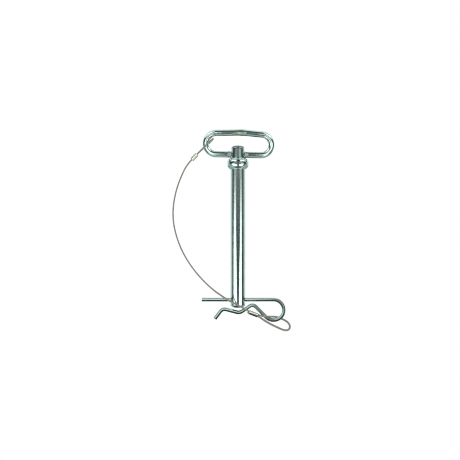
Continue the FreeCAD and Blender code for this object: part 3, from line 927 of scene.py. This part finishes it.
def plate(name, receivers, rows, tint, front=-150, table=None):
    """A glowing sheet that only the given pieces mirror. It stands in front of
    the object, and each row is a height and (x, level) pairs along it. With
    table set it lies flat at that height, and each row starts with its y."""
    verts, faces, level = [], [], []
    wide = len(rows[0][1])
    for at, pairs in rows:
        for x, share in pairs:
            verts.append((x * MM, front * MM, at * MM) if table is None else (x * MM, at * MM, table * MM))
            level.append(share)
    for i in range(len(rows) - 1):
        for j in range(wide - 1):
            a = i * wide + j
            faces.append((a, a + 1, a + wide + 1, a + wide))
    card = new_mesh_object(name, verts, faces, smooth=False)
    attribute = card.data.attributes.new("level", "FLOAT", "POINT")
    attribute.data.foreach_set("value", level)
    n = Nodes(name)
    lev = n.add("ShaderNodeAttribute", attribute_name="level")
    glow = n.add("ShaderNodeEmission", Color=(*tint, 1.0))
    n.link(lev.outputs["Fac"], glow.inputs["Strength"])
    clear = n.add("ShaderNodeBsdfTransparent")
    both = n.add("ShaderNodeAddShader")
    n.link(glow.outputs[0], both.inputs[0])
    n.link(clear.outputs[0], both.inputs[1])
    out = n.add("ShaderNodeOutputMaterial")
    n.link(both.outputs[0], out.inputs[0])
    n.mat.cycles.emission_sampling = "NONE"
    wear(card, n.mat)
    only_glossy(card)
    group = bpy.data.collections.new(name + "_for")
    for piece in receivers:
        group.objects.link(piece)
    card.light_linking.receiver_collection = group
    return card


def two_boxes(z, left, right, lit, gap, far_left=-270, far_right=500, soft=7.0, far_soft=45.0):
    """A row with a soft box on each side of a darker gap."""
    return z, [
        (far_left - far_soft, 0.0), (far_left + far_soft, lit), (left - soft, lit), (left + soft, gap),
        (right - soft, gap), (right + soft, lit), (far_right - far_soft, lit), (far_right + far_soft, 0.0),
    ]


SOFT_BOX = (1.48, 1.47, 1.47)
plate(
    "boxes_for_pin",
    [pin],
    [
        two_boxes(-300, -28, 34, 0.0, 0.0),
        two_boxes(-235, -34, 40, 1.0, 0.01, -420, 290),
        two_boxes(-180, -42, 46, 1.0, 0.01, -420, 290),
        two_boxes(-164, -44, 47, 1.0, 0.01, -420, 285),
        two_boxes(-136, -52, 55, 1.0, 0.015, -420, 275),
        two_boxes(-106, -68, 78, 1.0, 0.02, -380, 272),
        two_boxes(-78, -82, 92, 1.0, 0.03, -350, 272),
        two_boxes(-50, -86, 100, 0.86, 0.045, -320, 272),
        two_boxes(-12, -92, 106, 0.52, 0.055, -280, 272),
        two_boxes(3, -90, 94, 0.35, 0.065, -260, 270),
        two_boxes(16, -40, 60, 0.20, 0.08, -240, 260),
        (35, [(-255, 0.0), (-165, 0.16), (-23, 0.17), (-9, 0.065), (25, 0.065), (39, 0.33), (195, 0.30), (285, 0.0)]),
        (70, [(-235, 0.0), (-145, 0.09), (-23, 0.09), (-9, 0.04), (25, 0.04), (39, 0.17), (185, 0.15), (275, 0.0)]),
        two_boxes(115, -16, 32, 0.0, 0.0, -190, 230),
    ],
    SOFT_BOX,
)
plate(
    "boxes_for_handle",
    [handle],
    [
        two_boxes(-140, -26, 35, 0.0, 0.0, -165, 215),
        two_boxes(-40, -26, 35, 0.05, 0.05, -165, 215),
        two_boxes(0, -26, 35, 1.0, 0.07, -165, 215),
        two_boxes(62, -28, 35, 1.0, 0.075, -165, 215),
        two_boxes(86, -30, 35, 0.18, 0.07, -165, 215),
        two_boxes(140, -30, 35, 0.06, 0.06, -165, 215),
        two_boxes(240, -30, 35, 0.0, 0.0, -165, 215),
    ],
    SOFT_BOX,
    front=-156,
)
plate(
    "boxes_for_clip",
    [clip],
    [
        (-250, [(-300, 0.0), (-220, 0.0), (-60, 0.0), (10, 0.0), (60, 0.0), (160, 0.0), (260, 0.0)]),
        (-200, [(-300, 0.0), (-220, 0.35), (-60, 0.35), (10, 0.14), (60, 0.10), (160, 0.16), (260, 0.0)]),
        (-172, [(-300, 0.0), (-220, 0.70), (-60, 0.66), (10, 0.42), (60, 0.20), (160, 0.34), (260, 0.0)]),
        (-130, [(-300, 0.0), (-220, 0.62), (-60, 0.60), (10, 0.95), (60, 0.18), (160, 0.34), (260, 0.0)]),
        (-80, [(-300, 0.0), (-220, 0.34), (-60, 0.32), (10, 0.45), (60, 0.10), (160, 0.16), (260, 0.0)]),
        (40, [(-300, 0.0), (-220, 0.14), (-60, 0.16), (10, 0.18), (60, 0.16), (160, 0.12), (260, 0.0)]),
        (240, [(-300, 0.0), (-220, 0.10), (-60, 0.26), (10, 0.26), (60, 0.20), (160, 0.06), (260, 0.0)]),
    ],
    SOFT_BOX,
    front=-162,
)
# under the head: the pale table, then two low soft boxes standing off in front
plate(
    "table_for_handle",
    [handle],
    [
        (-270, [(-330, 0.0), (-220, 0.20), (0, 0.18), (240, 0.20), (340, 0.0)]),
        (-170, [(-330, 0.0), (-220, 0.26), (0, 0.26), (240, 0.26), (340, 0.0)]),
        (70, [(-330, 0.0), (-220, 0.32), (0, 0.34), (240, 0.32), (340, 0.0)]),
    ],
    (1.30, 1.52, 1.40),
    table=-256,
)
def table_row(y, far, near, edge, middle):
    """A row of the table that is dark in the middle, where the pin stands."""
    half = [(-330, 0.0), (-220, far), (-110, near), (-66, edge)]
    return y, half + [(0, middle)] + [(-x, v) for x, v in reversed(half)]


plate(
    "table_for_pin",
    [pin],
    [
        table_row(-270, 0.20, 0.18, 0.12, 0.04),
        table_row(-170, 0.22, 0.18, 0.12, 0.05),
        table_row(-70, 0.28, 0.26, 0.06, 0.03),
        table_row(-30, 0.28, 0.30, 0.02, 0.02),
        table_row(40, 0.30, 0.36, 0.02, 0.02),
        table_row(75, 0.32, 0.36, 0.04, 0.02),
    ],
    (1.30, 1.52, 1.40),
    table=-255,
)


def low_boxes(y, lit, left=0.93, right=0.80):
    d = -y
    return y, [
        (-(left + 0.12) * d, 0.0), (-(left - 0.12) * d, lit), (-0.30 * d, lit), (-0.14 * d, 0.0),
        (0.20 * d, 0.0), (0.36 * d, lit), ((right - 0.12) * d, lit), ((right + 0.12) * d, 0.0),
    ]


LOW_ROWS = ((-900, 0.0), (-720, 0.9), (-560, 1.0), (-300, 1.0), (-210, 0.0))
plate("low_boxes_for_handle", [handle], [low_boxes(y, v) for y, v in LOW_ROWS], SOFT_BOX, table=-252)
plate("low_boxes_for_pin", [pin], [low_boxes(y, v, 0.66, 0.62) for y, v in LOW_ROWS], SOFT_BOX, table=-253.5)


def high_boxes():
    """Two soft boxes over the lens, one each side, for the head of the pin."""
    turns = [(-96, 0.0), (-84, 1.0), (-22, 1.0), (-15, 0.0), (24, 0.0), (31, 1.0), (84, 1.0), (96, 0.0)]
    reaches = [(147, 0.0), (190, 1.0), (335, 1.0), (480, 0.0)]
    rows = []
    for reach, share in reaches:
        rows.append([(reach * math.sin(math.radians(a)), -reach * math.cos(math.radians(a)), v * share) for a, v in turns])
    return rows


def ring_plate(name, receivers, rows, height, tint):
    card = plate(name, receivers, [(0, [(x, v) for x, y, v in row]) for row in rows], tint, table=height)
    for vertex, (x, y, v) in zip(card.data.vertices, [p for row in rows for p in row]):
        vertex.co = (x * MM, y * MM, height * MM)
    card.data.update()
    return card


ring_plate("high_boxes_for_head", [pin, handle], high_boxes(), 252, SOFT_BOX)
plate(
    "boxes_for_ferrules",
    [ferrule_up, ferrule_low],
    [
        (-228, [(-330, 0.0), (-230, 0.0), (200, 0.0), (300, 0.0)]),
        (-204, [(-330, 0.0), (-230, 0.85), (200, 0.85), (300, 0.0)]),
        (-120, [(-330, 0.0), (-230, 0.85), (200, 0.85), (300, 0.0)]),
        (-90, [(-330, 0.0), (-230, 0.34), (200, 0.34), (300, 0.0)]),
        (-40, [(-330, 0.0), (-230, 0.34), (200, 0.34), (300, 0.0)]),
        (-10, [(-330, 0.0), (-230, 0.85), (200, 0.85), (300, 0.0)]),
        (80, [(-330, 0.0), (-230, 0.85), (200, 0.85), (300, 0.0)]),
        (130, [(-330, 0.0), (-230, 0.30), (200, 0.30), (300, 0.0)]),
        (330, [(-330, 0.0), (-230, 0.20), (200, 0.20), (300, 0.0)]),
    ],
    (1.45, 1.45, 1.36),
    front=-168,
)


def table_card():
    """The dark table under the clip, which its wires mirror below."""
    corners = [(-210, -260), (260, -260), (260, 70), (-210, 70), (-28, 70), (34, 70), (18, 520), (-14, 520)]
    verts = [(x * MM, y * MM, -262 * MM) for x, y in corners]
    card = new_mesh_object("dark_table", verts, [(0, 1, 2, 5, 4, 3), (4, 5, 6, 7)], smooth=False)
    n = Nodes("dark_table")
    dark = n.add("ShaderNodeEmission", Color=(0.03, 0.045, 0.042, 1.0), Strength=1.0)
    out = n.add("ShaderNodeOutputMaterial")
    n.link(dark.outputs[0], out.inputs[0])
    n.mat.cycles.emission_sampling = "NONE"
    wear(card, n.mat)
    only_glossy(card)


table_card()

world = bpy.data.worlds.new("studio")
scene.world = world
world.use_nodes = True
tree = world.node_tree
tree.nodes.clear()


def wnode(kind):
    return tree.nodes.new(kind)


def wmath(op, a, b=None, c=None):
    node = wnode("ShaderNodeMath")
    node.operation = op
    for i, v in enumerate((a, b, c)):
        if v is None:
            continue
        if isinstance(v, (int, float)):
            node.inputs[i].default_value = v
        else:
            tree.links.new(v, node.inputs[i])
    return node.outputs[0]


def wsmooth(value, a, b, c=0.0, d=1.0):
    node = wnode("ShaderNodeMapRange")
    node.interpolation_type = "SMOOTHSTEP"
    node.clamp = True
    tree.links.new(value, node.inputs[0])
    for i, v in enumerate((a, b, c, d), start=1):
        node.inputs[i].default_value = v
    return node.outputs[0]


def wmix(fac, a, b):
    node = wnode("ShaderNodeMix")
    node.data_type = "RGBA"
    tree.links.new(fac, node.inputs[0])
    for i, v in ((6, a), (7, b)):
        if isinstance(v, tuple):
            node.inputs[i].default_value = (*v, 1.0)
        else:
            tree.links.new(v, node.inputs[i])
    return node.outputs[2]


coord = wnode("ShaderNodeTexCoord")
way = wnode("ShaderNodeSeparateXYZ")
tree.links.new(coord.outputs["Generated"], way.inputs[0])
azimuth = wmath("MULTIPLY", wmath("ARCTAN2", way.outputs[0], wmath("MULTIPLY", way.outputs[1], -1.0)), 180 / math.pi)
height = wmath("MULTIPLY", wmath("ARCSINE", way.outputs[2]), 180 / math.pi)
DARK = (0.031, 0.054, 0.052)
PALE = (0.52, 0.65, 0.60)


def product(*values):
    out = values[0]
    for v in values[1:]:
        out = wmath("MULTIPLY", out, v)
    return out


ahead = wsmooth(way.outputs[1], 0.1, -0.1)
# behind the object: the pale sweep, and over it the bright ceiling
back = wmath("MAXIMUM", wsmooth(azimuth, 84.0, 116.0), wsmooth(azimuth, -90.0, -110.0))
slot = product(wsmooth(wmath("ABSOLUTE", way.outputs[0]), 0.20, 0.08), wsmooth(way.outputs[1], -0.10, -0.22))
over = product(
    wsmooth(way.outputs[2], 0.30, 0.60), wsmooth(way.outputs[1], -0.42, -0.18), wmath("SUBTRACT", 1.0, slot),
    wsmooth(wmath("ABSOLUTE", way.outputs[0]), 0.26, 0.55, 1.0, 0.22),
)
# the table in front, and the pale floor out to the sides
low_front = product(wsmooth(height, -34.0, -60.0), ahead)
low_left = product(wsmooth(height, -6.0, -16.0), wsmooth(azimuth, -66.0, -84.0))
low_right = product(wsmooth(height, -6.0, -16.0), wsmooth(azimuth, 70.0, 88.0))
# two soft boxes behind, and the dark gap between them
turned, tipped = wmath("ABSOLUTE", azimuth), wmath("ABSOLUTE", height)
rear_boxes = product(wsmooth(turned, 126.0, 134.0), wsmooth(turned, 164.0, 156.0), wsmooth(tipped, 40.0, 26.0))
rear_gap = product(wsmooth(turned, 160.0, 168.0), wsmooth(tipped, 40.0, 26.0))
c = wmix(back, DARK, PALE)
c = wmix(rear_boxes, c, (1.10, 1.17, 1.15))
c = wmix(rear_gap, c, (0.13, 0.17, 0.17))
c = wmix(low_front, c, (0.15, 0.19, 0.175))
c = wmix(low_left, c, (0.30, 0.43, 0.39))
c = wmix(low_right, c, (0.38, 0.43, 0.35))
c = wmix(over, c, (0.76, 0.86, 0.82))
mirror = wnode("ShaderNodeBackground")
tree.links.new(c, mirror.inputs[0])
even = wnode("ShaderNodeBackground")
even.inputs[0].default_value = (1.0, 1.0, 1.0, 1.0)
even.inputs[1].default_value = 1.0
path = wnode("ShaderNodeLightPath")
pick = wnode("ShaderNodeMixShader")
tree.links.new(path.outputs["Is Glossy Ray"], pick.inputs[0])
tree.links.new(even.outputs[0], pick.inputs[1])
tree.links.new(mirror.outputs[0], pick.inputs[2])
wout = wnode("ShaderNodeOutputWorld")
tree.links.new(pick.outputs[0], wout.inputs[0])


def sheet_of(name, corners, strength):
    obj = new_mesh_object(name, corners, [(0, 1, 2, 3)], smooth=False)
    n = Nodes(name)
    glow = n.add("ShaderNodeEmission", Color=(1.0, 1.0, 1.0, 1.0), Strength=strength)
    clear = n.add("ShaderNodeBsdfTransparent")
    geometry = n.add("ShaderNodeNewGeometry")
    mixed = n.add("ShaderNodeMixShader")
    n.link(geometry.outputs["Backfacing"], mixed.inputs[0])
    n.link(glow.outputs[0], mixed.inputs[1])
    n.link(clear.outputs[0], mixed.inputs[2])
    out = n.add("ShaderNodeOutputMaterial")
    n.link(mixed.outputs[0], out.inputs[0])
    wear(obj, n.mat)
    obj.visible_glossy = False
    obj.visible_shadow = False
    return obj


floor = sheet_of("floor", [(-3, -3, -0.45), (3, -3, -0.45), (3, 3, -0.45), (-3, 3, -0.45)], 1.0)
scene.cycles.filter_width = 1.1
scene.view_settings.view_transform = "Standard"
scene.view_settings.look = "None"
scene.view_settings.exposure = 0.0
scene.view_settings.gamma = 1.0
